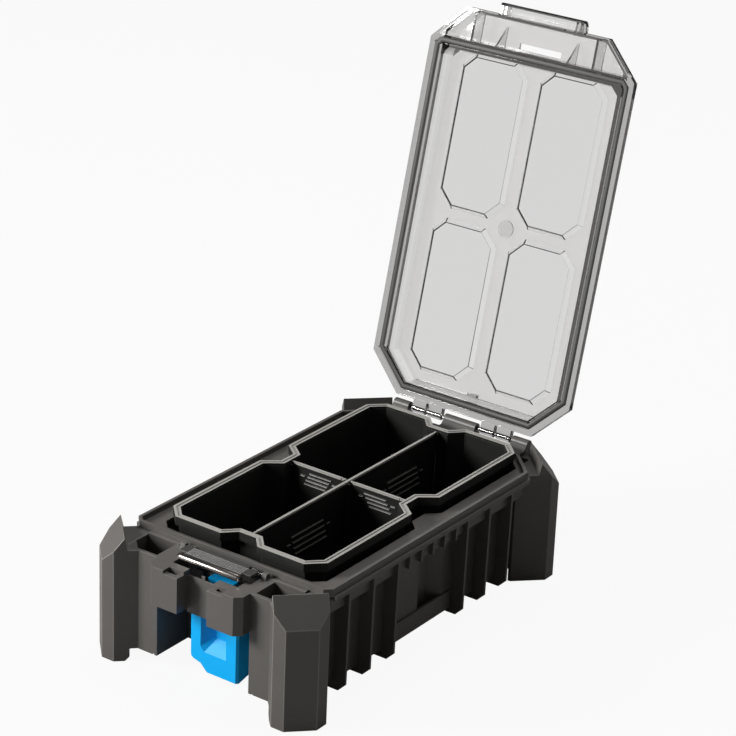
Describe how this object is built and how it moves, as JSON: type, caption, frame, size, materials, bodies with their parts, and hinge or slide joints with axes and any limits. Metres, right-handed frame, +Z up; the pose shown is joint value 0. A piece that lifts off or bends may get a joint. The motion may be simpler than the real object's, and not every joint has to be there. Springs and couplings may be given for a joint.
{
  "type": "tool organizer",
  "caption": "Stackable half-width tool organizer with corner posts, a clear hinged lid, a lift-out divided tray, a sprung lid catch and a sliding stacking latch.",
  "frame": {"origin": "on the plane of the feet, under the middle of the case", "axes": "+Z up, -Y the latch end, +Y the hinge end, X the width"},
  "size_m": [0.236, 0.5005, 0.4885],
  "materials": {
    "charcoal_plastic": "fine moulded texture",
    "tray_plastic": "fine moulded texture",
    "catch_plastic": "satin, finely ribbed",
    "smoke_polycarbonate": "clear smoke, polished",
    "seal_rubber": "soft satin",
    "blue_plastic": "satin moulded",
    "steel_pin": "satin",
    "spring_steel": "drawn wire",
    "polished_bar": "polished dark"
  },
  "bodies": {
    "case": {"tub_body": "charcoal_plastic", "corner_post_front_right": "charcoal_plastic", "corner_post_front_left": "charcoal_plastic", "corner_post_rear_right": "charcoal_plastic", "corner_post_rear_left": "charcoal_plastic", "front_housing": "charcoal_plastic", "hinge_pin_right": "steel_pin", "hinge_pin_left": "steel_pin", "catch_pin": "steel_pin", "catch_spring_right": "spring_steel", "catch_spring_left": "spring_steel", "latch_guide": "charcoal_plastic", "guide_screws": "steel_pin"},
    "lid": {"lid": "smoke_polycarbonate", "lid_lip": "smoke_polycarbonate", "lid_rail_right": "smoke_polycarbonate", "lid_rail_left": "smoke_polycarbonate", "lid_rail_rear": "smoke_polycarbonate", "lid_corner_right": "smoke_polycarbonate", "lid_corner_left": "smoke_polycarbonate", "lid_gasket": "seal_rubber"},
    "catch": {"catch_plate": "catch_plastic", "catch_bar": "polished_bar"},
    "stack_latch": {"stack_latch": "blue_plastic"},
    "tray": {"tray": "tray_plastic"},
    "long_divider": {"long_divider": "tray_plastic", "divider_guides": "tray_plastic"},
    "cross_divider_right": {"cross_divider_right": "tray_plastic"},
    "cross_divider_left": {"cross_divider_left": "tray_plastic"}
  },
  "joints": [
    {"name": "lid_hinge", "type": "hinge", "parent": "case", "child": "lid", "pos_m": [0, 0.1942, 0.1136], "axis": [-1, 0, 0], "range_deg": [-103.9, 0]},
    {"name": "catch_press", "type": "hinge", "parent": "case", "child": "catch", "pos_m": [0, -0.157, 0.109], "axis": [1, 0, 0], "range_deg": [0, 10], "stiffness_Nm_per_rad": 0.3, "springref_deg": -5.73},
    {"name": "stack_latch_slide", "type": "slide", "parent": "case", "child": "stack_latch", "axis": [0, 0, 1], "range_m": [0, 0.007]},
    {"name": "tray_lift", "type": "slide", "parent": "case", "child": "tray", "axis": [0, 0, 1], "range_m": [0, 0.11]},
    {"name": "long_divider_lift", "type": "slide", "parent": "tray", "child": "long_divider", "axis": [0, 0, 1], "range_m": [0, 0.105]},
    {"name": "cross_divider_right_lift", "type": "slide", "parent": "tray", "child": "cross_divider_right", "axis": [0, 0, 1], "range_m": [0, 0.105]},
    {"name": "cross_divider_left_lift", "type": "slide", "parent": "tray", "child": "cross_divider_left", "axis": [0, 0, 1], "range_m": [0, 0.105]}
  ]
}
